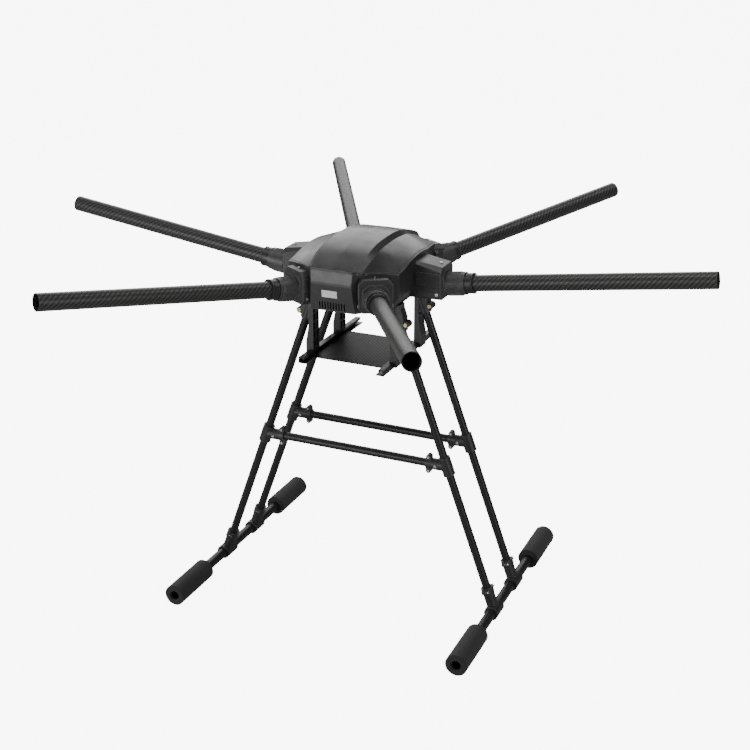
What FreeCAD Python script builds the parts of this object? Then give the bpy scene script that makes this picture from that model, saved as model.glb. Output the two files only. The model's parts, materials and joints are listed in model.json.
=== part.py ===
# Six-arm folding multirotor frame: hub, folding arms, landing gear and payload tray.
# Millimetres. +Z up, nose toward -Y. Origin on the ground at the hub axis.
import FreeCAD, Part
import math
import os
from FreeCAD import Vector as V

# ---- sizes ---------------------------------------------------------------------------
ARM_OD, ARM_WALL = 30.0, 1.5
ARM_ANGLES = {"front_right": 30, "right": 90, "rear_right": 150,
              "rear_left": 210, "left": 270, "front_left": 330}
DIHEDRAL = 8.0                 # arms rise outward
AXIS_Z0 = 619.2                # height of the arm axes at the hub axis
ARM_END = 650.0                # tube end, measured along the arm axis
TUBE_START = 190.0
PIVOT_A, PIVOT_N = 174.0, -14.0  # fold pin: along the arm axis, and below it
KNUCKLE_R = 3.2

SEAT_R0, SEAT_R1 = 96.0, 161.0   # tall part of the arm seat, horizontal radii
SEAT_FACE = 8.0                  # thickness of its closed outer end
SEAT_HEEL_R, SEAT_HEEL_W, SEAT_HEEL_TOP = 62.0, 28.0, 668.0
SEAT_W, SEAT_FLAT, SEAT_LOW, SEAT_TOP, SEAT_WALL = 30.0, 22.0, 616.0, 678.0, 3.5
SEAT_RISE, SEAT_LIFT = 10.0, 2.0  # rise toward the hub: side seats, angled seats
FRAME_R0, FRAME_R1, FRAME_W, FRAME_TOP = 138.0, 146.0, 34.0, 672.0
BAND_LOW, BAND_TOP, BAND_T = 642.0, 666.0, 0.8  # raised band on a seat's sides
BOSS_END = 167.1                 # along the arm axis
GLUED_UNDER = 0.3                # the tube's glued end is turned down by this, radially
SOCKET_WALL, COLLAR_FLARE = 3.8, 0.5
COLLAR_R, COLLAR_END = ARM_OD / 2 + SOCKET_WALL, 217.0
COLLAR_LIP = COLLAR_R + COLLAR_FLARE
NUT_LIP = COLLAR_LIP + 0.3       # the nut slides over the collar's lip
NUT_BORE = NUT_LIP + 0.6
SPIGOT_R = NUT_BORE - 1.0        # leaves the thread's depth
NUT_A0, NUT_A1, NUT_WALL = 167.5, 202.0, 1.2
NUT_R = NUT_BORE + NUT_WALL
RIB_R, RIBS, PAD_T = 0.9, 8, 1.3   # each of the nut's three ribbed stretches has RIBS ribs

LEG_OD, LEG_WALL, LEG_Y = 16.0, 1.5, 58.6
SKID_OD, SKID_WALL, SKID_X, SKID_HALF = 20.0, 1.5, 293.85, 264.0
FOOT_OD, FOOT_LEN, FOOT_END = 42.0, 115.8, 267.3
LEG_TOP_X, LEG_TOP_Z, CROSS_Z = 85.3, 594.0, 305.0
EAR_Z, EAR_OUT = 575.0, 15.8       # bolt through a bracket's ears, from the leg's axis

RAIL_IN, RAIL_OUT, RAIL_Z0, RAIL_H, RAIL_T = 75.6, 86.5, 489.2, 11.5, 2.0
RAIL_FRONT, RAIL_REAR = -117.0, 137.0
TRAY_FRONT, TRAY_REAR, TRAY_T = -85.0, 72.0, 2.0
POST_IN, POST_OUT, POST_W, POST_CHEEK = 78.0, 87.0, 26.4, 93.0

SHELL_LOW, SHELL_T = 612.0, 2.5
SHELL_X, SHELL_FOOT_X = 109.5, 98.0  # side wall, and its foot after the slant
CANOPY_T, CANOPY_RIM = 3.0, 4.0
LEDGE_W, LEDGE_T = 5.0, 3.0      # ledge inside the shell that carries the canopy
VENTS, VENT_PITCH, VENT_W, VENT_LOW, VENT_TOP = 10, 5.4, 2.8, 614.5, 629.0
PLATE_W, PLATE_H, PLATE_X, PLATE_Z = 30.0, 13.0, -4.0, 644.5
REAR_DROP, CROWN = 3.0, 2.0

GAP = 0.2                        # between parts that only meet
FIT = 0.02                       # radial, tube in its socket
SCREW_R, HEAD_R, HEAD_H = 1.5, 2.75, 1.7
BOLT_R = 2.0

SKID_Z = FOOT_OD / 2
LEG_LEAN = math.degrees(math.atan2(SKID_X - LEG_TOP_X, LEG_TOP_Z - SKID_Z))
TAN_LEAN = math.tan(math.radians(LEG_LEAN))
COS_DIH = math.cos(math.radians(DIHEDRAL))
Y, Z, O = V(0, 1, 0), V(0, 0, 1), V(0, 0, 0)
LEG_DIR = V(-math.sin(math.radians(LEG_LEAN)), 0, math.cos(math.radians(LEG_LEAN)))
CORNERS = {"front_right": (1, -1), "rear_right": (1, 1), "rear_left": (-1, 1), "front_left": (-1, -1)}

# plans of the canopy rim and of the shell wall: outlines (x, distance from the middle) of the
# front quarter, from the nose to the side, and of the rear quarter, from the tail to the side
RIM_PLAN = ([(39.5, 153.0), (51.3, 138.0), (105.5, 100.0)],
            [(39.5, 153.0), (51.3, 138.0), (88.3, 112.0), (105.5, 34.0)])
SHELL_PLAN = ([(39.3, 152.8), (54.0, 136.0), (SHELL_X, 103.0)],
              [(39.3, 152.8), (54.0, 136.0), (92.0, 113.4), (SHELL_X, 34.0)])
# canopy heights (distance from the middle, height) at three distances from the centre line
EDGE = [(0, 721), (40, 719.8), (80, 714), (100, 709), (120, 702.5), (140, 695.5), (153, 690.5), (170, 683.5)]
STEP = [(0, 713), (40, 711.6), (63, 709.5), (85, 704.8), (103, 699), (120, 692.6), (138, 685), (170, 671)]
SIDE = [(0, 695.2), (30, 693.5), (60, 688.2), (80, 684.1),
        (100, 680.2), (120, 676.5), (140, 673.2), (170, 668.7)]
CREST = [(y, z + CROWN * (1 - y / 170)) for y, z in EDGE]
# distance from the centre line, how much less it is at the nose and tail, heights
SECTIONS = [(0.0, 0.0, CREST), (47.0, 6.5, EDGE), (56.0, 4.7, STEP), (112.0, 0.0, SIDE)]
TAPER_FROM = 100.0


# ---- helpers -------------------------------------------------------------------------
def poly(points, direction):
    return Part.Face(Part.makePolygon(points + points[:1])).extrude(direction)


def plan(quarters, z0, z1, inset=0.0):
    front, rear = [[(x - inset, y - inset) for x, y in q] for q in quarters]
    right = [(x, -y) for x, y in front] + [(x, y) for x, y in rear[::-1]]
    ring = right + [(-x, y) for x, y in right[::-1]]
    return poly([V(x, y, z0) for x, y in ring], V(0, 0, z1 - z0))


def rod(radius, start, end):
    step = end - start
    return Part.makeCylinder(radius, step.Length, start, step)


def box(x0, x1, y0, y1, z0, z1):
    return Part.makeBox(x1 - x0, y1 - y0, z1 - z0, V(x0, y0, z0))


def turned(shape, angle, axis=Z, about=O):
    copy = shape.copy()
    copy.rotate(about, axis, angle)
    return copy


def moved(shape, x=0.0, y=0.0, z=0.0):
    copy = shape.copy()
    copy.translate(V(x, y, z))
    return copy


def tilted(shape):
    """From a frame whose X is the arm axis to the arm's level frame."""
    return moved(turned(shape, -DIHEDRAL, Y), z=AXIS_Z0)


def on_arm(shape, name):
    """From the arm's level frame, X outward, to the row frame."""
    return turned(shape, ARM_ANGLES[name] - 90)


def corner(shape, name):
    """From the +X +Y corner to the named one."""
    sx, sy = CORNERS[name]
    out = shape.copy()
    if sx < 0:
        out = out.mirror(O, V(1, 0, 0))
    if sy < 0:
        out = out.mirror(O, V(0, 1, 0))
    return out


def leg_point(z, off_x=0.0, y=LEG_Y):
    return V(SKID_X - (z - SKID_Z) * TAN_LEAN + off_x, y, z)


def save(node, shape):
    solids = shape.Solids
    clean = solids[0] if len(solids) == 1 else Part.makeCompound(solids)
    good = all(s.isValid() and s.isClosed() and s.Volume > 0 for s in solids)
    print(node, len(solids), "solids", round(clean.Volume, 1), "ok" if good else "BAD")
    clean.exportStep("parts/%s.step" % node)


# ---- hub -----------------------------------------------------------------------------
def dome(drop):
    """Solid below the canopy surface, lowered by drop."""
    wires = []
    spread = [(-x, -taper, line) for x, taper, line in SECTIONS[:0:-1]] + SECTIONS
    for x, taper, profile in spread:
        pts = [dome_point(x, taper, -y, z - drop) for y, z in profile[:0:-1]]
        pts += [dome_point(x, taper, y, z - drop) for y, z in profile]
        curve = Part.BSplineCurve()
        curve.interpolate(pts)
        low = [pts[-1], V(pts[-1].x, pts[-1].y, 560), V(pts[0].x, pts[0].y, 560), pts[0]]
        edges = [curve.toShape()] + [Part.makeLine(a, b) for a, b in zip(low, low[1:])]
        wires.append(Part.Wire(edges))
    return Part.makeLoft(wires, True, True)


def dome_point(x, taper, y, z):
    """Point of a canopy line: it closes in toward nose and tail, and the tail is lower."""
    ends = max(0.0, min(abs(y), 153.0) - TAPER_FROM) / (153.0 - TAPER_FROM)
    back = min(max(y, 0.0), 80.0) / 80.0
    return V(x - taper * ends, y, z - REAR_DROP * back * back)


def nose_profile(grow=0.0):
    """Bar along X whose ends give the nose and tail their creased slope."""
    half = [(147.0 + grow, 600), (153.0 + grow, 663), (150.5 + grow, 692), (150.5 + grow, 760)]
    pts = [V(-120, y, z) for y, z in half] + [V(-120, -y, z) for y, z in half[::-1]]
    return poly(pts, V(240, 0, 0))


def side_profile(grow=0.0):
    """Bar along Y whose sides give the side walls their inward slant low down."""
    half = [(SHELL_FOOT_X + grow, 600), (SHELL_FOOT_X + grow, 616),
            (SHELL_X + grow, 638), (SHELL_X + grow, 760)]
    pts = [V(x, -200, z) for x, z in half] + [V(-x, -200, z) for x, z in half[::-1]]
    return poly(pts, V(0, 400, 0))


def seat_section(r, w, top, flat, low, cut):
    pts = [(-w, low + cut), (-w, top - (w - flat)), (-flat, top), (flat, top),
           (w, top - (w - flat)), (w, low + cut), (w - cut, low), (-w + cut, low)]
    return [V(r, y, z) for y, z in pts]


def octagon_loft(*sections):
    return Part.makeLoft([Part.makePolygon(s + s[:1]) for s in sections], True, True)


def seat_block(rise, grow=0.0):
    """Octagonal sleeve, its heel and, on an angled seat, the frame around it."""
    inner = seat_section(SEAT_R0 - grow, SEAT_W - 1 + grow, SEAT_TOP + rise + grow, SEAT_FLAT + 3 + grow,
                         SEAT_LOW - grow, 3)
    mid, end = [seat_section(r, SEAT_W - cut + grow, SEAT_TOP - cut + grow, SEAT_FLAT - cut * 0.6 + grow,
                             SEAT_LOW + cut - grow, 8) for r, cut in ((SEAT_R1 - 1, 0), (SEAT_R1, 1))]
    block = octagon_loft(inner, mid).fuse(octagon_loft(mid, end))
    heel = box(SEAT_HEEL_R, SEAT_R0 + 1, -SEAT_HEEL_W - grow, SEAT_HEEL_W + grow,
               SEAT_LOW - grow, SEAT_HEEL_TOP + grow)
    block = block.fuse(heel)
    if rise == SEAT_RISE:
        return block
    parts = [(FRAME_R0 - grow, 0), (FRAME_R1 - 1, 0), (FRAME_R1 + grow, 1)]
    rings = [seat_section(r, FRAME_W - cut + grow, FRAME_TOP - cut + grow, FRAME_W - 8 - cut * 0.6 + grow,
                          SEAT_LOW - grow, 8) for r, cut in parts]
    return block.fuse(octagon_loft(*rings))


def knuckle(y0, y1, a0, a1):
    """Hinge barrel around the fold pin with a web from a0 to a1."""
    barrel = rod(KNUCKLE_R, V(PIVOT_A, y0, PIVOT_N), V(PIVOT_A, y1, PIVOT_N))
    return barrel.fuse(box(a0, a1, y0, y1, PIVOT_N - KNUCKLE_R, PIVOT_N + KNUCKLE_R))


def arm_seat(rise):
    body = seat_block(rise).cut(seat_hollow(rise))
    r0 = SEAT_R0 + 16 if rise == SEAT_RISE else FRAME_R1 + 3
    for sy in (-1, 1):
        y0, y1 = sorted((sy * (SEAT_W - 1), sy * (SEAT_W + BAND_T)))
        body = body.fuse(box(r0, SEAT_R1 - 2, y0, y1, BAND_LOW, BAND_TOP))
    boss = octagon_loft(seat_section(SEAT_R1 - 4, 27, 33, 19, -24, 9),
                        seat_section(BOSS_END - 2, 23.6, 27, 14, -19.5, 9),
                        seat_section(BOSS_END, 22, 25.5, 13, -18, 9))
    spigot = boss.fuse(rod(SPIGOT_R, V(SEAT_R1 - 8, 0, 0), V(PIVOT_A - 0.3, 0, 0)))
    for half_w, top in ((21, PIVOT_N + 1.5), (3.3, PIVOT_N + KNUCKLE_R + 0.6)):
        spigot = spigot.cut(box(PIVOT_A - 8, PIVOT_A + 1, -half_w, half_w, -26, top))
    for y0, y1 in ((-9.3, -3.3), (3.3, 9.3)):
        spigot = spigot.fuse(knuckle(y0, y1, PIVOT_A - 10, PIVOT_A))
    spigot = spigot.cut(rod(SCREW_R, V(PIVOT_A, -12, PIVOT_N), V(PIVOT_A, 12, PIVOT_N)))
    body = body.fuse(tilted(spigot))
    body = body.cut(tilted(rod(9, V(140, 0, 0), V(PIVOT_A + 5, 0, 0))))
    return body.cut(seat_holes(rise))


def seat_hollow(rise):
    """Room inside a seat, open toward the hub."""
    t = SEAT_WALL
    inner = seat_section(SEAT_R0 + t, SEAT_W - 1 - t, SEAT_TOP + rise - t, SEAT_FLAT + 2 - t, SEAT_LOW + t, 3)
    outer = seat_section(SEAT_R1 - SEAT_FACE, SEAT_W - t, SEAT_TOP - t, SEAT_FLAT - 1 - t, SEAT_LOW + t, 8)
    heel_w = SEAT_HEEL_W - t
    room = octagon_loft(inner, outer)
    room = room.fuse(box(SEAT_HEEL_R - 1, SEAT_R0 + t + 1, -heel_w, heel_w, SEAT_LOW + t, SEAT_HEEL_TOP - t))
    posts = [rod(4, p, p + d * 9.5) for p, d in seat_screw_places(rise)]
    return room.cut(Part.makeCompound(posts))


def seat_screw_places(rise):
    """Head seats and inward directions of the three screws of one seat."""
    slope = rise / (SEAT_R1 - 1 - SEAT_R0)
    r = SEAT_R1 - 12
    return [(V(r, 0, SEAT_TOP + slope * (SEAT_R1 - 1 - r)), V(-slope, 0, -1).normalize()),
            (V(SEAT_R1 - 8, -SEAT_W, 628), V(0, 1, 0)), (V(SEAT_R1 - 8, SEAT_W, 628), V(0, -1, 0))]


def seat_holes(rise):
    return Part.makeCompound([rod(SCREW_R + FIT, p - d, p + d * 8.5) for p, d in seat_screw_places(rise)])


def screw(place, direction, length, r=SCREW_R, head_r=HEAD_R, head_h=HEAD_H):
    d = V(direction.x, direction.y, direction.z).normalize()
    head = rod(head_r, place - d * head_h, place - d * 0.02)
    head = head.cut(rod(head_r * 0.45, place - d * (head_h + 1), place - d * (head_h * 0.45)))
    return head.fuse(rod(r, place - d * 0.4, place + d * length))


def hub_shell():
    outer = plan(SHELL_PLAN, SHELL_LOW, 740).common(nose_profile()).common(side_profile()).common(dome(0.6))
    room = plan(SHELL_PLAN, SHELL_LOW - 1, 741, SHELL_T).common(nose_profile(-SHELL_T))
    room = room.common(side_profile(-SHELL_T)).common(dome(CANOPY_RIM + GAP + LEDGE_T))
    wall = outer.cut(room).cut(plan(RIM_PLAN, 600, 760, LEDGE_W))
    wall = wall.cut(plan(RIM_PLAN, 600, 760, -GAP).cut(dome(CANOPY_RIM + GAP)))
    for name in ARM_ANGLES:
        wall = wall.cut(on_arm(seat_block(seat_rise(name), GAP), name))
    cuts = []
    for i in range(VENTS):
        x = (i - (VENTS - 1) / 2) * VENT_PITCH
        for y in (-1, 1):
            cuts.append(box(x - VENT_W / 2, x + VENT_W / 2, min(y * 130, y * 160), max(y * 130, y * 160),
                            VENT_LOW, VENT_TOP))
    return wall.cut(Part.makeCompound(cuts)).cut(name_plate(0.1))


def name_plate(grow=0.0):
    slope = math.degrees(math.atan2(6.0, 63.0))
    half_w, half_h = PLATE_W / 2 + grow, PLATE_H / 2 + grow
    plate = box(-half_w, half_w, -0.6, 0.4 + grow, -half_h, half_h)
    y = -(147.0 + 6.0 * (PLATE_Z - 600) / 63.0)
    return moved(turned(plate, slope, V(1, 0, 0)), x=PLATE_X, y=y, z=PLATE_Z)


def canopy():
    outer = dome(0).common(plan(RIM_PLAN, 600, 760))
    inner = dome(CANOPY_T).common(plan(RIM_PLAN, 590, 770, CANOPY_T))
    body = outer.cut(inner).cut(dome(CANOPY_RIM)).common(nose_profile(3.0))
    for name in ARM_ANGLES:
        body = body.cut(on_arm(seat_block(seat_rise(name), GAP), name))
    return body


def seat_rise(name):
    return SEAT_RISE if name in ("right", "left") else SEAT_LIFT


def hub_plates():
    inset = SHELL_T + GAP
    low = plan(SHELL_PLAN, SHELL_LOW + GAP, SEAT_LOW - GAP, inset)
    low = low.common(nose_profile(-inset)).common(side_profile(-inset))
    low = low.cut(rod(22, V(0, 0, 600), V(0, 0, 630)))
    angles = [math.radians(a) for a in range(0, 360, 60)]
    hexagon = [V(97 * math.sin(a), -97 * math.cos(a), SEAT_HEEL_TOP + GAP) for a in angles]
    top = poly(hexagon, V(0, 0, 3)).cut(rod(24, V(0, 0, 660), V(0, 0, 680)))
    for name in ARM_ANGLES:
        for x, y in ((70, -20), (70, 20)):
            hole = rod(SCREW_R, V(x, y, 600), V(x, y, 680))
            top = top.cut(on_arm(hole, name))
    return low, top


# ---- arms ----------------------------------------------------------------------------
def arm_joint():
    flange = rod(NUT_BORE - 0.3, V(PIVOT_A + 0.3, 0, 0), V(182, 0, 0))
    body = flange.fuse(rod(COLLAR_R, V(181, 0, 0), V(COLLAR_END, 0, 0)))
    body = body.fuse(Part.makeCone(COLLAR_R - 0.5, COLLAR_LIP, 4, V(COLLAR_END - 5, 0, 0), V(1, 0, 0)))
    body = body.fuse(rod(COLLAR_LIP, V(COLLAR_END - 1, 0, 0), V(COLLAR_END, 0, 0)))
    body = body.cut(box(PIVOT_A - 1, PIVOT_A + 4.6, -9.6, 9.6, -22, PIVOT_N + KNUCKLE_R + 0.4))
    body = body.fuse(knuckle(-3.0, 3.0, PIVOT_A, PIVOT_A + 7))
    body = body.cut(rod(SCREW_R + 0.05, V(PIVOT_A, -12, PIVOT_N), V(PIVOT_A, 12, PIVOT_N)))
    body = body.cut(rod(9, V(170, 0, 0), V(200, 0, 0)))
    socket_r = ARM_OD / 2 - GLUED_UNDER + FIT
    body = body.cut(rod(socket_r, V(TUBE_START - 0.1, 0, 0), V(COLLAR_END + 5, 0, 0)))
    return tilted(body)


def arm_tube():
    """Tube whose glued end is turned down a little, up to the collar's mouth."""
    a, mid, b = [V(x, 0, 0) for x in (TUBE_START, COLLAR_END + 0.3, ARM_END)]
    body = rod(ARM_OD / 2 - GLUED_UNDER, a, mid).fuse(rod(ARM_OD / 2, mid, b))
    return tilted(body.cut(rod(ARM_OD / 2 - ARM_WALL, a - V(1, 0, 0), b + V(1, 0, 0))))


def lock_nut():
    """Nut whose grip has three ribbed stretches and three smooth pads, by turns."""
    body = rod(NUT_R, V(NUT_A0, 0, 0), V(196, 0, 0)).fuse(rod(NUT_R - 0.5, V(195, 0, 0), V(NUT_A1, 0, 0)))
    body = body.fuse(rod(NUT_R + PAD_T, V(NUT_A0, 0, 0), V(NUT_A0 + 2, 0, 0)))
    ribs, pads = [], []
    for turn in range(3):
        for i in range(RIBS):
            angle = 112 + 120 * turn + (i - (RIBS - 1) / 2) * 6.0
            rib = rod(RIB_R, V(NUT_A0 + 1, 0, NUT_R), V(193, 0, NUT_R))
            ribs.append(turned(rib, angle, V(1, 0, 0)))
        pads.append(turned(nut_pad(), 52 + 120 * turn, V(1, 0, 0)))
    body = body.multiFuse(ribs + pads)
    body = body.cut(rod(NUT_BORE, V(NUT_A0 - 1, 0, 0), V(197, 0, 0)))
    return tilted(body.cut(rod(NUT_LIP, V(190, 0, 0), V(NUT_A1 + 1, 0, 0))))


def nut_pad():
    """Smooth raised pad on top of the nut, its outer corners cut off."""
    ring = rod(NUT_R + PAD_T, V(NUT_A0 + 1, 0, 0), V(194, 0, 0)).cut(
        rod(NUT_R - 0.4, V(NUT_A0, 0, 0), V(195, 0, 0)))
    a0, a1, w = NUT_A0 + 1, 194.0, 11.4
    half = [(a0, w), (a1 - 5, w), (a1, w - 4)]
    outline = [V(a, y, 10) for a, y in half] + [V(a, -y, 10) for a, y in half[::-1]]
    return ring.common(poly(outline, V(0, 0, 20)))


def fold_pin():
    return tilted(rod(SCREW_R - 0.01, V(PIVOT_A, -9.3, PIVOT_N), V(PIVOT_A, 9.3, PIVOT_N)))


# ---- landing gear, +X +Y corner ------------------------------------------------------
def leg():
    foot = V(SKID_X, LEG_Y, SKID_Z) + LEG_DIR * 14
    top = leg_point(LEG_TOP_Z)
    return rod(LEG_OD / 2, foot, top).cut(rod(LEG_OD / 2 - LEG_WALL, foot - LEG_DIR, top + LEG_DIR))


def leg_bore(z0, z1):
    return rod(LEG_OD / 2 + FIT, leg_point(z0), leg_point(z1))


def leg_bracket():
    """Post from hub to tray rail with the clamp that holds the leg."""
    foot_z, inner_x = RAIL_Z0 + RAIL_H + GAP, RAIL_OUT + GAP
    side = [(POST_IN, foot_z), (inner_x, foot_z), (inner_x, RAIL_Z0 + 1.5), (POST_CHEEK - 1, RAIL_Z0 + 1.5),
            (POST_CHEEK, RAIL_Z0 + 4), (POST_CHEEK, 516), (POST_OUT, 549), (POST_OUT, SHELL_LOW),
            (POST_IN, SHELL_LOW)]
    y0, y1 = LEG_Y - POST_W / 2, LEG_Y + POST_W / 2
    post = poly([V(x, y0, z) for x, z in side], V(0, POST_W, 0))
    rows, first, pitch = 6, foot_z + 3, 17.4
    pockets = [box(POST_IN - 1, POST_IN + 8, ya, yb, first + i * pitch, first + i * pitch + pitch - 2)
               for i in range(rows) for ya, yb in ((y0 + 2, LEG_Y - 1.3), (LEG_Y + 1.3, y1 - 2))]
    post = post.cut(Part.makeCompound(pockets))
    head = poly([V(x, LEG_Y - 11, z) for x, z in
                 ((84, 562), (98, 562), (104, 566), (104, 586), (98, 605), (98, SHELL_LOW), (84, SHELL_LOW))],
                V(0, 22, 0))
    sleeve = rod(LEG_OD / 2 + 4, leg_point(560), leg_point(600))
    ear_c = leg_point(EAR_Z, EAR_OUT)
    ear = rod(6.5, ear_c - Y * 8, ear_c + Y * 8)
    ear = ear.fuse(box(ear_c.x - 16, ear_c.x, LEG_Y - 8, LEG_Y + 8, EAR_Z - 6.5, EAR_Z + 6.5))
    body = post.fuse(head).fuse(sleeve).fuse(ear)
    body = body.cut(leg_bore(540, LEG_TOP_Z + 0.1))
    body = body.cut(box(92, 120, LEG_Y - 0.8, LEG_Y + 0.8, 540, 598))
    body = body.cut(rod(BOLT_R + FIT, ear_c - Y * 12, ear_c + Y * 12))
    return body.cut(box(60, 130, LEG_Y - 20, LEG_Y + 20, SHELL_LOW, 640))


def cross_tee():
    x = leg_point(CROSS_Z).x
    sleeve = rod(11.5, leg_point(CROSS_Z - 17), leg_point(CROSS_Z + 17))
    stub = rod(11.0, V(x, LEG_Y, CROSS_Z), V(x - 40, LEG_Y, CROSS_Z))
    lug = box(x - 40, x - 30, LEG_Y - 6, LEG_Y + 6, CROSS_Z - 14, CROSS_Z + 14)
    ends = [rod(5, V(x - 35, LEG_Y - 6, CROSS_Z + s * 14), V(x - 35, LEG_Y + 6, CROSS_Z + s * 14))
            for s in (-1, 1)]
    boss = rod(4.2, V(x - 19, LEG_Y - 11.2, CROSS_Z), V(x - 19, LEG_Y, CROSS_Z))
    boss = boss.fuse(rod(4.2, V(x - 19, LEG_Y + 11.2, CROSS_Z), V(x - 19, LEG_Y, CROSS_Z)))
    body = sleeve.fuse(stub).fuse(lug).fuse(boss).multiFuse(ends)
    body = body.cut(leg_bore(CROSS_Z - 30, CROSS_Z + 30))
    body = body.cut(rod(LEG_OD / 2 + FIT, V(x - 12.9, LEG_Y, CROSS_Z), V(x - 50, LEG_Y, CROSS_Z)))
    body = body.cut(box(x - 50, x - 26, LEG_Y - 0.75, LEG_Y + 0.75, CROSS_Z - 25, CROSS_Z + 25))
    for p, d, n in cross_screws(1) + cross_screws(-1):
        body = body.cut(rod(SCREW_R + FIT, p - d * 2, p + d * (n + 0.5)))
    return body


def cross_screws(way):
    """Places of the three screws, heads on the side way of the tee."""
    x, d = leg_point(CROSS_Z).x, V(0, -way, 0)
    ears = [(V(x - 35, LEG_Y + way * 6, CROSS_Z + s * 14), d, 12.0) for s in (-1, 1)]
    return ears + [(V(x - 19, LEG_Y + way * 11.2, CROSS_Z), d, 12.0)]


def skid_tee():
    base = V(SKID_X, LEG_Y, SKID_Z)
    out = V(LEG_DIR.z, 0, -LEG_DIR.x)
    body = rod(14, base - Y * 19, base + Y * 19)
    body = body.fuse(rod(11.2, base, base + LEG_DIR * 48))
    body = body.fuse(rod(12.4, base + LEG_DIR * 37, base + LEG_DIR * 48))
    for s in (-1, 1):
        c = base + LEG_DIR * 42.5 + Y * (s * 13.5)
        body = body.fuse(rod(4.3, c - out * 6, c + out * 6))
    body = body.cut(rod(SKID_OD / 2 + FIT, base - Y * 30, base + Y * 30))
    body = body.cut(rod(LEG_OD / 2 + FIT, base + LEG_DIR * 13.9, base + LEG_DIR * 60))
    lean = box(-0.75, 0.75, LEG_Y - 20, LEG_Y + 20, 26, 60)
    body = body.cut(moved(turned(lean, -LEG_LEAN, Y), x=SKID_X, z=SKID_Z))
    for p, d, n in skid_screws():
        body = body.cut(rod(SCREW_R + FIT, p - d * 2, p + d * (n + 0.5)))
    return body


def skid_screws():
    base = V(SKID_X, LEG_Y, SKID_Z)
    out = V(LEG_DIR.z, 0, -LEG_DIR.x)
    return [(base + LEG_DIR * 42.5 + Y * (s * 14.6) + out * 6, out * -1, 12.0) for s in (-1, 1)]


def skid_tube():
    a, b = V(SKID_X, -SKID_HALF, SKID_Z), V(SKID_X, SKID_HALF, SKID_Z)
    return rod(SKID_OD / 2, a, b).cut(rod(SKID_OD / 2 - SKID_WALL, a - Y, b + Y))


def foot():
    a, b = V(SKID_X, FOOT_END - FOOT_LEN, SKID_Z), V(SKID_X, FOOT_END, SKID_Z)
    return rod(FOOT_OD / 2, a, b).cut(rod(SKID_OD / 2 + FIT, a - Y, b + Y))


def cross_tube():
    x = leg_point(CROSS_Z).x
    a, b = V(-x + 13, LEG_Y, CROSS_Z), V(x - 13, LEG_Y, CROSS_Z)
    tube = rod(LEG_OD / 2, a, b).cut(rod(LEG_OD / 2 - LEG_WALL, a - V(1, 0, 0), b + V(1, 0, 0)))
    for sx in (-1, 1):
        at = V(sx * (x - 19), LEG_Y, CROSS_Z)
        tube = tube.cut(rod(SCREW_R + FIT, at - Y * 12, at + Y * 12))
    return tube


# ---- tray ----------------------------------------------------------------------------
def rail():
    y0, y1, z1 = RAIL_FRONT, RAIL_REAR, RAIL_Z0 + RAIL_H
    web = box(RAIL_OUT - RAIL_T, RAIL_OUT, y0, y1, RAIL_Z0, z1)
    top = box(RAIL_IN, RAIL_OUT, y0, y1, z1 - RAIL_T, z1)
    low = box(RAIL_IN - 5, RAIL_OUT, y0, y1, RAIL_Z0, RAIL_Z0 + RAIL_T)
    inner = box(RAIL_IN, RAIL_IN + RAIL_T, y0, y1, z1 - 5.0, z1)
    return web.fuse(top).fuse(low).fuse(inner)


def tray():
    x = RAIL_OUT - RAIL_T - GAP
    z = RAIL_Z0 + RAIL_T + GAP
    return box(-x, x, TRAY_FRONT, TRAY_REAR, z, z + TRAY_T)


# ---- build ---------------------------------------------------------------------------
def group(shapes):
    return Part.makeCompound(shapes)


def main():
    os.makedirs("parts", exist_ok=True)
    save("canopy", canopy())
    save("hub_shell", hub_shell())
    low, top = hub_plates()
    save("hub_bottom_plate", low)
    save("hub_top_plate", top)
    save("name_plate", name_plate())

    flat_seat, side_seat = arm_seat(SEAT_LIFT), arm_seat(SEAT_RISE)
    joint, tube, nut, pin = arm_joint(), arm_tube(), lock_nut(), fold_pin()
    for name in ARM_ANGLES:
        seat = side_seat if name in ("right", "left") else flat_seat
        for kind, shape in (("arm_seat", seat), ("arm_joint", joint), ("arm_tube", tube), ("lock_nut", nut)):
            save("%s_%s" % (kind, name), on_arm(shape, name))
    save("fold_pins", group([on_arm(pin, name) for name in ARM_ANGLES]))
    seat_set = [on_arm(screw(p, d, 8), name)
                for name in ARM_ANGLES for p, d in seat_screw_places(seat_rise(name))]
    save("seat_screws", group(seat_set))

    pieces = {"leg": leg(), "leg_bracket": leg_bracket(), "cross_tee": cross_tee(),
              "skid_tee": skid_tee(), "foot": foot()}
    for name in CORNERS:
        for kind, shape in pieces.items():
            save("%s_%s" % (kind, name), corner(shape, name))
    save("skid_right", skid_tube())
    save("skid_left", corner(skid_tube(), "rear_left"))
    save("cross_tube_rear", cross_tube())
    save("cross_tube_front", corner(cross_tube(), "front_right"))
    save("rail_right", rail())
    save("rail_left", rail().mirror(O, V(1, 0, 0)))
    save("tray", tray())

    small, bolts = [], []
    for name, (sx, sy) in CORNERS.items():
        places = skid_screws() + cross_screws(-sy)
        small += [corner(screw(p, d, n), name) for p, d, n in places]
        head = leg_point(EAR_Z, EAR_OUT) - Y * (sy * 8)
        bolts.append(corner(screw(head, V(0, sy, 0), 18, BOLT_R, 3.6, 2.6), name))
    save("tee_screws", group(small))
    save("bracket_bolts", group(bolts))


main()
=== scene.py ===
# %% [markdown]
# # A folding six-arm multirotor frame
#
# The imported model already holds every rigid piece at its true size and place.
# This lesson loads it, gives each piece the finish of the real one, and models
# the four foam feet again as soft sleeves.

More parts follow.
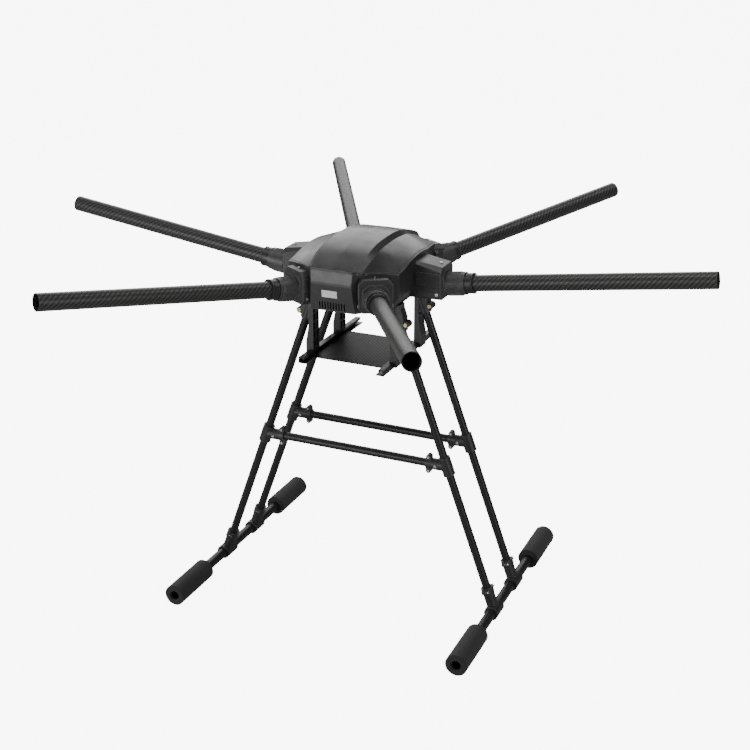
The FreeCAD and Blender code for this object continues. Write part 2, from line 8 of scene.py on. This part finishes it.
# %% Load the frame
import bpy
import bmesh
import json
import math
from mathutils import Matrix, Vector


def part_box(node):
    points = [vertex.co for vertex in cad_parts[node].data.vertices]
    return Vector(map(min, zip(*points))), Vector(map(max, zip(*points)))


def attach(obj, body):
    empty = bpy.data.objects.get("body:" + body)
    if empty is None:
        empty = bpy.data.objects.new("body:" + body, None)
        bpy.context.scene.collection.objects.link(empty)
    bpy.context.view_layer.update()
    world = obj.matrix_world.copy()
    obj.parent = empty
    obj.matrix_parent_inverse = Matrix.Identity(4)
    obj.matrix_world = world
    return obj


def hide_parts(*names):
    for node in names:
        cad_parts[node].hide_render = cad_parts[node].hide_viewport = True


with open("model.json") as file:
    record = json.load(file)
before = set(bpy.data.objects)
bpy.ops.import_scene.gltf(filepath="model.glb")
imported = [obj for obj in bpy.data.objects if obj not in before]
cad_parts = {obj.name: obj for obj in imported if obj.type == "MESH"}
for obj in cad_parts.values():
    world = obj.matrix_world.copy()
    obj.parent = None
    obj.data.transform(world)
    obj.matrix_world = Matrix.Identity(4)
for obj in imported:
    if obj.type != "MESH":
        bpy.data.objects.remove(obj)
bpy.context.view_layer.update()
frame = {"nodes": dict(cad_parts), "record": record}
nodes = frame["nodes"]

# %% [markdown]
# ## Camera
#
# The frame is seen from near its front right arm, above the hub, with a fairly
# long lens, so that the near arm points at the viewer without looking stretched.
# The nose faces -Y, and right is the +X side. A camera's turn is easiest to give
# as a turn round the vertical and a height above the horizon.

# %% Place the camera
AZIMUTH, ELEVATION = 24.009, 21.588
camera = bpy.data.objects.new("camera", bpy.data.cameras.new("camera"))
bpy.context.scene.collection.objects.link(camera)
camera.location = (0.96759, -2.13344, 1.36341)
camera.rotation_euler = (math.radians(90 - ELEVATION), 0, math.radians(AZIMUTH))
camera.data.sensor_width = 36
camera.data.lens = 62.71
camera.data.clip_start, camera.data.clip_end = 0.05, 60
bpy.context.scene.camera = camera
print("camera at", [round(v, 3) for v in camera.location])

# %% [markdown]
# ## Studio
#
# Satin black only shows its shape through what it mirrors. If the whole room
# were bright, every face would turn the same grey. So the floor and the sky are
# dim for the light that reaches the object, and near white for rays that come
# straight from the camera, as when a backdrop has lamps of its own. The Light
# Path node tells the two kinds of ray apart, and a Map Range node turns its
# answer into a strength.

# %% Backdrop strength
VIEW_FLOOR, VIEW_SKY, LIGHT_SKY = 8.0, 8.4, 0.10
FLOOR_HALF = 30  # metres from the middle to an edge


def new_mesh(name, bm, material):
    mesh = bpy.data.meshes.new(name)
    bm.to_mesh(mesh)
    bm.free()
    obj = bpy.data.objects.new(name, mesh)
    obj.data.materials.append(material)
    bpy.context.scene.collection.objects.link(obj)
    return obj


def lit_backdrop(tree, for_view, for_light):
    """Strength that is for_view on the camera's own rays and for_light on others."""
    path = tree.nodes.new("ShaderNodeLightPath")
    pick = tree.nodes.new("ShaderNodeMapRange")
    tree.links.new(path.outputs["Is Camera Ray"], pick.inputs["Value"])
    pick.inputs["To Min"].default_value = for_light
    pick.inputs["To Max"].default_value = for_view
    return pick.outputs["Result"]


print("backdrop", VIEW_FLOOR, "floor,", VIEW_SKY, "sky")

# %% Floor
pale = bpy.data.materials.new("pale_floor")
pale.use_nodes = True
shader = pale.node_tree.nodes["Principled BSDF"]
shader.inputs["Base Color"].default_value = (0.45, 0.45, 0.45, 1)
shader.inputs["Roughness"].default_value = 0.8
shader.inputs["Specular IOR Level"].default_value = 0.1
shader.inputs["Emission Color"].default_value = (1, 1, 1, 1)
pale.node_tree.links.new(lit_backdrop(pale.node_tree, VIEW_FLOOR, 0.0), shader.inputs["Emission Strength"])
bm = bmesh.new()
bmesh.ops.create_grid(bm, x_segments=1, y_segments=1, size=FLOOR_HALF)
studio_floor = new_mesh("studio_floor", bm, pale)
print("floor", 2 * FLOOR_HALF, "m across")

# %% [markdown]
# ## Lights
#
# Area lights are softboxes: their size sets how softly a highlight fades. A wide
# one stands behind and lays a long sheen over the cover and the tubes. One hangs
# overhead, a small one is high on the right, and three lower ones, at the front,
# on the left and on the right, lift the walls that face away from the wide one.

# %% Sky and softboxes
world = bpy.data.worlds.new("studio")
bpy.context.scene.world = world
world.use_nodes = True
sky = world.node_tree.nodes["Background"]
sky.inputs["Color"].default_value = (1, 1, 1, 1)
world.node_tree.links.new(lit_backdrop(world.node_tree, VIEW_SKY, LIGHT_SKY), sky.inputs["Strength"])


def area_light(name, place, aim, size, power):
    light = bpy.data.lights.new(name, "AREA")
    light.shape, light.size, light.size_y = "RECTANGLE", size[0], size[1]
    light.energy = power
    obj = bpy.data.objects.new(name, light)
    bpy.context.scene.collection.objects.link(obj)
    obj.location = place
    obj.rotation_euler = (Vector(aim) - Vector(place)).to_track_quat("-Z", "Y").to_euler()


area_light("rear_left_softbox", (-1.8, 3.2, 2.5), (0, 0, 0.6), (4.2, 2.6), 100)
area_light("overhead_softbox", (-0.3, -0.6, 3.4), (0, 0, 0.6), (1.6, 1.6), 30)
area_light("high_right_softbox", (1.5, 1.0, 2.9), (0, 0, 0.6), (1.0, 1.0), 14)
area_light("low_front_softbox", (-1.3, -3.3, 0.75), (0, 0, 0.6), (1.6, 1.5), 60)
area_light("left_softbox", (-3.4, -1.4, 1.6), (0, 0, 0.5), (1.0, 1.8), 30)
area_light("right_softbox", (3.3, -1.6, 1.3), (0, 0, 0.6), (1.2, 1.6), 45)
print("six softboxes placed")

# %% [markdown]
# ## Building blocks for the finishes
#
# Every finish here is made of shader nodes that read Object coordinates. The
# objects all sit at the origin, so these coordinates are metres in the frame of
# the whole object, and a pattern keeps its real size on every piece.

# %% Small helpers for shader nodes
class Finish:
    """A material under construction, with short ways to add nodes."""

    def __init__(self, name):
        self.mat = bpy.data.materials.new(name)
        self.mat.use_nodes = True
        self.tree = self.mat.node_tree
        self.shader = self.tree.nodes["Principled BSDF"]
        self.where = self.add("ShaderNodeTexCoord").outputs["Object"]

    def add(self, kind, **settings):
        node = self.tree.nodes.new(kind)
        for key, value in settings.items():
            setattr(node, key, value)
        return node

    def plug(self, value, socket):
        if isinstance(value, bpy.types.NodeSocket):
            self.tree.links.new(value, socket)
        else:
            socket.default_value = value

    def math(self, operation, *values):
        node = self.add("ShaderNodeMath", operation=operation)
        for value, socket in zip(values, node.inputs):
            self.plug(value, socket)
        return node.outputs[0]

    def noise(self, scale, detail=2.0, rough=0.5, at=None):
        node = self.add("ShaderNodeTexNoise")
        self.plug(at or self.where, node.inputs["Vector"])
        node.inputs["Scale"].default_value = scale
        node.inputs["Detail"].default_value = detail
        node.inputs["Roughness"].default_value = rough
        return node.outputs["Fac"]

    def span(self, value, low, high, to_low, to_high):
        node = self.add("ShaderNodeMapRange")
        for v, socket in zip((value, low, high, to_low, to_high), node.inputs):
            self.plug(v, socket)
        return node.outputs[0]

    def blend(self, share, a, b):
        node = self.add("ShaderNodeMix", data_type="RGBA")
        self.plug(share, node.inputs[0])
        for v, socket in ((a, node.inputs[6]), (b, node.inputs[7])):
            self.plug((*v, 1) if isinstance(v, tuple) else v, socket)
        return node.outputs[2]

    def relief(self, height, depth, strength=1.0, edge=0.0):
        """Bump of that depth in metres, on edges rounded by edge metres."""
        bump = self.add("ShaderNodeBump")
        bump.inputs["Strength"].default_value = strength
        bump.inputs["Distance"].default_value = depth
        self.plug(height, bump.inputs["Height"])
        if edge:
            self.plug(self.rounded(edge), bump.inputs["Normal"])
        self.plug(bump.outputs["Normal"], self.shader.inputs["Normal"])

    def rounded(self, radius):
        """Normal of a surface whose edges are rounded by that radius in metres."""
        soft = self.add("ShaderNodeBevel", samples=6)
        soft.inputs["Radius"].default_value = radius
        return soft.outputs["Normal"]

    def edges(self, radius):
        """1 along the rounded edges of a piece, 0 on the faces beside them."""
        flat = self.add("ShaderNodeNewGeometry")
        dot = self.add("ShaderNodeVectorMath", operation="DOT_PRODUCT")
        self.plug(self.rounded(radius), dot.inputs[0])
        self.plug(flat.outputs["Normal"], dot.inputs[1])
        return self.span(dot.outputs["Value"], 0.90, 0.995, 1, 0)

    def fixed(self, **values):
        for key, value in values.items():
            self.shader.inputs[key.replace("_", " ")].default_value = value


print("helpers ready")

# %% [markdown]
# ## Moulded plastic
#
# The hub, seats, nuts, brackets and tees are black nylon. Such parts come out of
# the mould with a fine spark-eroded grain, edges rounded by about half a
# millimetre, and faint changes of gloss where hands have rubbed them. A fine
# noise gives the grain, a coarse one the gloss, and the Bevel node rounds the
# edges in the shading alone. Edges are painted paler than the faces, a painted
# highlight: where the rounded normal leaves the face's own, the grey is lighter.

# %% Plastic
# Painted highlight: how much paler the rounded edges are made, and the grey they are made paler with.
EDGE_HIGHLIGHT_SHARE, EDGE_HIGHLIGHT_GREY = 0.55, (0.16, 0.16, 0.162)


def moulded_plastic(name, dark, light, roughness, grain=0.00005, edge=0.0006):
    f = Finish(name)
    patch = f.noise(9.0, 3.0)
    speck = f.noise(1400.0, 1.0)
    tone = f.math("ADD", f.math("MULTIPLY", patch, 0.6), f.math("MULTIPLY", speck, 0.4))
    body = f.blend(f.span(tone, 0.35, 0.65, 0, 1), dark, light)
    # Painted highlight along the rounded edges, mixed into the base colour.
    painted_edge_highlight = f.math("MULTIPLY", f.edges(2 * edge), EDGE_HIGHLIGHT_SHARE)
    f.plug(f.blend(painted_edge_highlight, body, EDGE_HIGHLIGHT_GREY), f.shader.inputs["Base Color"])
    rub = f.noise(26.0, 4.0, 0.6)
    f.plug(f.span(rub, 0.3, 0.7, roughness - 0.06, roughness + 0.08), f.shader.inputs["Roughness"])
    f.relief(f.noise(2600.0, 2.0), grain, 0.6, edge)
    return f.mat


def grey(level):
    return (level, level, level * 1.01)


finishes = {
    "canopy_shell": moulded_plastic("canopy_satin", grey(0.016), grey(0.020), 0.33, 0.00002),
    "hub_plastic": moulded_plastic("hub_satin", grey(0.020), grey(0.026), 0.36, 0.00003),
    "seat_plastic": moulded_plastic("seat_grain", grey(0.028), grey(0.036), 0.44),
    "joint_plastic": moulded_plastic("joint_satin", grey(0.014), grey(0.018), 0.40, 0.00003),
    "nut_plastic": moulded_plastic("nut_grain", grey(0.038), grey(0.048), 0.44),
    "bracket_plastic": moulded_plastic("bracket_grain", grey(0.014), grey(0.019), 0.42),
    "tee_plastic": moulded_plastic("tee_grain", grey(0.012), grey(0.016), 0.46),
}
print("plastics:", sorted(finishes))

# %% [markdown]
# ## Woven carbon tube
#
# The tubes are wrapped in 2/2 twill cloth: each bundle of fibres goes over two
# and under two, one step further in each row, which draws diagonal ribs. The
# pattern needs one coordinate along the tube and one round it. A Mapping node
# turns each tube level, and the arctangent of the other two coordinates gives
# the way round. The bundles that run across catch more light than the others,
# so they are painted paler, a painted sheen, and each bundle is painted darker
# towards its sides, a painted shade on its round.

# %% Twill from two coordinates
TWILL_REPEAT = 4.0  # bundles before the pattern starts again


def twill(f, u, v, dark, light, depth, roughness, edge=0.0):
    """u and v count bundles along and across."""
    step = f.math("ADD", f.math("FLOOR", u), f.math("FLOOR", v))
    over = f.math("LESS_THAN", f.math("FLOORED_MODULO", step, TWILL_REPEAT), TWILL_REPEAT / 2)
    hump_u = f.math("ABSOLUTE", f.math("SINE", f.math("MULTIPLY", u, math.pi)))
    hump_v = f.math("ABSOLUTE", f.math("SINE", f.math("MULTIPLY", v, math.pi)))
    one = f.math("MULTIPLY", over, hump_u)
    other = f.math("MULTIPLY", f.math("SUBTRACT", 1.0, over), hump_v)
    hump = f.math("ADD", one, other)
    # Painted sheen and shade: bundles on top are painted paler, and each bundle darker towards its sides.
    shade = f.math("MULTIPLY", f.span(over, 0, 1, 0.25, 1.0), f.span(hump, 0, 1, 0.55, 1.0))
    f.plug(f.blend(shade, dark, light), f.shader.inputs["Base Color"])
    f.plug(f.span(over, 0, 1, roughness + 0.08, roughness), f.shader.inputs["Roughness"])
    f.relief(hump, depth, 0.5, edge)


print("twill repeats after", TWILL_REPEAT, "bundles")

# %% [markdown]
# ### Wrapping the twill round a tube
#
# The cloth meets itself on the far side of the tube, so a whole number of
# repeats has to fit round it, or a seam would show.

# %% Twill round a tube
def tube_weave(name, centre, turn, radius, bundle, dark, light, roughness, depth):
    """Twill round a tube whose axis, after the turn, is X."""
    f = Finish(name)
    mapping = f.add("ShaderNodeMapping", vector_type="TEXTURE")
    mapping.inputs["Location"].default_value = centre
    mapping.inputs["Rotation"].default_value = turn
    f.plug(f.where, mapping.inputs["Vector"])
    parts = f.add("ShaderNodeSeparateXYZ")
    f.plug(mapping.outputs[0], parts.inputs[0])
    around = f.math("ARCTAN2", parts.outputs[2], parts.outputs[1])
    turns = round(2 * math.pi * radius / bundle / TWILL_REPEAT) * TWILL_REPEAT
    u = f.math("DIVIDE", parts.outputs[0], bundle)
    v = f.math("MULTIPLY", around, turns / (2 * math.pi))
    twill(f, u, v, dark, light, depth, roughness)
    f.fixed(Specular_IOR_Level=0.3, Coat_Weight=0.08, Coat_Roughness=0.3)
    return f.mat


print("weave ready")

# %% [markdown]
# ### One weave for each direction
#
# A tube's pattern follows its own axis, so each direction of tube gets its own
# copy of the material. The arms have a coarse cloth with a strong painted sheen,
# and the thinner tubes of the landing gear a fine cloth with a faint one.

# %% Weave on every tube
ARM_ANGLES = {"front_right": 30, "right": 90, "rear_right": 150,
              "rear_left": 210, "left": 270, "front_left": 330}
DIHEDRAL, AXIS_HEIGHT = math.radians(8), 0.6192
LEG_LEAN, LEG_Y, SKID_X, SKID_Z = math.radians(20), 0.0586, 0.29385, 0.021
CROSS_HEIGHT = 0.305
ARM_RADIUS, LEG_RADIUS, SKID_RADIUS = 0.015, 0.008, 0.010
COARSE_BUNDLE, FINE_BUNDLE = 0.00225, 0.0015
# Painted sheen: PALE and FINE_PALE are the greys that the bundles on top are painted with, and DARK is the
# cloth's own black.
DARK, PALE, FINE_PALE = (0.003, 0.003, 0.003), (0.062, 0.062, 0.061), (0.022, 0.022, 0.022)


def coarse_weave(name, centre, turn, radius):
    return tube_weave(name, centre, turn, radius, COARSE_BUNDLE, DARK, PALE, 0.34, 0.00012)


def fine_weave(name, centre, turn, radius):
    return tube_weave(name, centre, turn, radius, FINE_BUNDLE, DARK, FINE_PALE, 0.36, 0.00008)


def paint(node, material):
    for slot in nodes[node].material_slots:
        slot.material = material


for arm, angle in ARM_ANGLES.items():
    turn = (0, -DIHEDRAL, math.radians(angle - 90))
    paint("arm_tube_" + arm, coarse_weave("arm_weave_" + arm, (0, 0, AXIS_HEIGHT), turn, ARM_RADIUS))
for end, sy in (("front", -1), ("rear", 1)):
    for hand, sx in (("right", 1), ("left", -1)):
        turn = (0, -(math.pi / 2 + LEG_LEAN * sx), 0)
        centre = (SKID_X * sx, LEG_Y * sy, SKID_Z)
        paint("leg_%s_%s" % (end, hand),
              fine_weave("leg_weave_%s_%s" % (end, hand), centre, turn, LEG_RADIUS))
    centre = (0, LEG_Y * sy, CROSS_HEIGHT)
    paint("cross_tube_" + end, fine_weave("cross_weave_" + end, centre, (0, 0, 0), LEG_RADIUS))
for hand, sx in (("right", 1), ("left", -1)):
    centre, turn = (SKID_X * sx, 0, SKID_Z), (0, 0, math.pi / 2)
    paint("skid_" + hand, fine_weave("skid_weave_" + hand, centre, turn, SKID_RADIUS))
print("tubes painted")

# %% [markdown]
# ## Woven sheet
#
# The tray and the hub plates are cut from flat woven sheet with a satin face.
# The same twill serves, with X and Y as its two coordinates. Its relief is
# slight, because the sheet was pressed flat while it set.

# %% Woven sheet
SHEET_BUNDLE = 0.0022


def sheet_weave(name, roughness):
    f = Finish(name)
    parts = f.add("ShaderNodeSeparateXYZ")
    f.plug(f.where, parts.inputs[0])
    u = f.math("DIVIDE", parts.outputs[0], SHEET_BUNDLE)
    v = f.math("DIVIDE", parts.outputs[1], SHEET_BUNDLE)
    # The twill's painted sheen and shade are faint on the sheet: its two greys differ little.
    twill(f, u, v, (0.006, 0.006, 0.006), (0.010, 0.010, 0.010), 0.00002, roughness, 0.0002)
    f.fixed(Specular_IOR_Level=0.08)
    return f.mat


finishes["plate_carbon"] = sheet_weave("satin_sheet", 0.42)
print("sheet with bundles of", SHEET_BUNDLE * 1000, "mm")

# %% [markdown]
# ## Metals
#
# The rails are black anodised extrusions with faint drawing lines along their
# length. The name plate is brushed, and the screws, pins and bolts are turned. A
# small scale along one axis draws a noise out into lines along it, and an even
# noise stands for the fine marks of a cutter.

# %% Metals
def drawn_metal(name, dark, light, roughness, scale, metallic=1.0, edge=0.0002):
    """Fine lines along the axis whose scale is small, or even marks with equal scales."""
    f = Finish(name)
    mapping = f.add("ShaderNodeMapping")
    mapping.inputs["Scale"].default_value = scale
    f.plug(f.where, mapping.inputs["Vector"])
    lines = f.noise(900.0, 3.0, 0.6, mapping.outputs[0])
    f.plug(f.blend(f.span(lines, 0.35, 0.65, 0, 1), dark, light), f.shader.inputs["Base Color"])
    f.plug(f.span(f.noise(60.0, 2.0), 0.3, 0.7, roughness - 0.05, roughness + 0.1),
           f.shader.inputs["Roughness"])
    f.relief(lines, 0.00002, 0.5, edge)
    f.fixed(Metallic=metallic)
    return f.mat


EVEN, ALONG_X, ALONG_Y = (1, 1, 1), (0.05, 1, 1), (1, 0.02, 1)
finishes["rail_aluminium"] = drawn_metal("black_anodised", (0.020, 0.020, 0.021), (0.030, 0.030, 0.031),
                                         0.36, ALONG_Y, 0.6, 0.0004)
finishes["plate_silver"] = drawn_metal("brushed_silver", (0.62, 0.62, 0.64), (0.78, 0.78, 0.80),
                                       0.34, ALONG_X)
finishes["screw_steel"] = drawn_metal("turned_steel", (0.50, 0.50, 0.52), (0.64, 0.64, 0.66), 0.26, EVEN)
finishes["pin_steel"] = drawn_metal("ground_steel", (0.42, 0.42, 0.44), (0.55, 0.55, 0.57), 0.22, EVEN)
finishes["bolt_brass"] = drawn_metal("turned_brass", (0.60, 0.48, 0.27), (0.72, 0.60, 0.36), 0.28, EVEN)
print("metals ready")

# %% [markdown]
# ## Foam
#
# The feet are closed-cell foam: dull, almost without a highlight, and pitted
# where the knife opened its cells. Voronoi distances give each pit its hollow,
# and a noise makes some pits deeper than others. The colour is painted darker
# towards the bottom of each pit, a painted shade in the hollows.

# %% Foam
def closed_cell_foam():
    f = Finish("black_foam")
    cells = f.add("ShaderNodeTexVoronoi", feature="F1")
    f.plug(f.where, cells.inputs["Vector"])
    cells.inputs["Scale"].default_value = 900.0
    pits = f.math("MULTIPLY", cells.outputs["Distance"], f.noise(380.0, 3.0, 0.7))
    # Painted shade: the grey is darker where a pit is deeper.
    f.plug(f.blend(f.span(pits, 0.05, 0.45, 0, 1), (0.009, 0.009, 0.009), (0.018, 0.018, 0.018)),
           f.shader.inputs["Base Color"])
    f.plug(f.span(f.noise(40.0, 3.0), 0.3, 0.7, 0.86, 0.96), f.shader.inputs["Roughness"])
    f.relief(pits, 0.0004, 0.7)
    f.fixed(Specular_IOR_Level=0.25, Sheen_Weight=0.15, Sheen_Roughness=0.6)
    return f.mat


finishes["foam"] = closed_cell_foam()
print("finishes:", sorted(finishes))

# %% [markdown]
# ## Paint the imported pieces
#
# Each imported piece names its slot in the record. The tubes already have a weave
# of their own, so they're passed over.

# %% Paint by slot
plain_parts = [part for part in frame["record"]["subparts"] if part["material_slot"] in finishes]
for part in plain_parts:
    paint(part["node"], finishes[part["material_slot"]])
print("painted", len(plain_parts), "pieces")

# %% [markdown]
# ## Foam feet
#
# A foot is a thick-walled foam sleeve pushed over the end of a skid. A hot knife
# cuts it, so its rims are slightly cut back, and the bore hugs the tube. A
# profile spun about the skid's axis gives the whole sleeve at once, with the
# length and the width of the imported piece.

# %% Model the feet
FOOT_BORE, OUTER_RIM, BORE_RIM = 0.01002, 0.0016, 0.001
FOOT_STEPS, SHARP_FROM = 96, math.radians(40)


def foam_foot(name, node, body):
    low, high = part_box(node)
    centre = (low + high) / 2
    half, outer = (high.y - low.y) / 2, (high.z - low.z) / 2
    bm = bmesh.new()
    front_half = [(half - OUTER_RIM, outer), (half, outer - OUTER_RIM),
                  (half, FOOT_BORE + BORE_RIM), (half - BORE_RIM, FOOT_BORE)]
    ring = front_half + [(-along, away) for along, away in front_half[::-1]]
    verts = [bm.verts.new((0, along, away)) for along, away in ring]
    edges = [bm.edges.new((a, b)) for a, b in zip(verts, verts[1:] + verts[:1])]
    bmesh.ops.spin(bm, geom=verts + edges, cent=(0, 0, 0), axis=(0, 1, 0), dvec=(0, 0, 0),
                   angle=math.tau, steps=FOOT_STEPS, use_merge=True, use_duplicate=False)
    bmesh.ops.translate(bm, verts=bm.verts, vec=centre)
    bmesh.ops.remove_doubles(bm, verts=bm.verts, dist=1e-6)
    bmesh.ops.recalc_face_normals(bm, faces=bm.faces)
    for face in bm.faces:
        face.smooth = True
    foot = new_mesh(name, bm, finishes["foam"])
    for edge in foot.data.edges:
        edge.use_edge_sharp = False
    foot.data.set_sharp_from_angle(angle=SHARP_FROM)
    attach(foot, body)
    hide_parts(node)
    return foot


for corner in ("front_right", "rear_right", "rear_left", "front_left"):
    made = foam_foot("foam_foot_" + corner, "foot_" + corner, "hub")
    print(made.name, len(made.data.polygons), "faces")
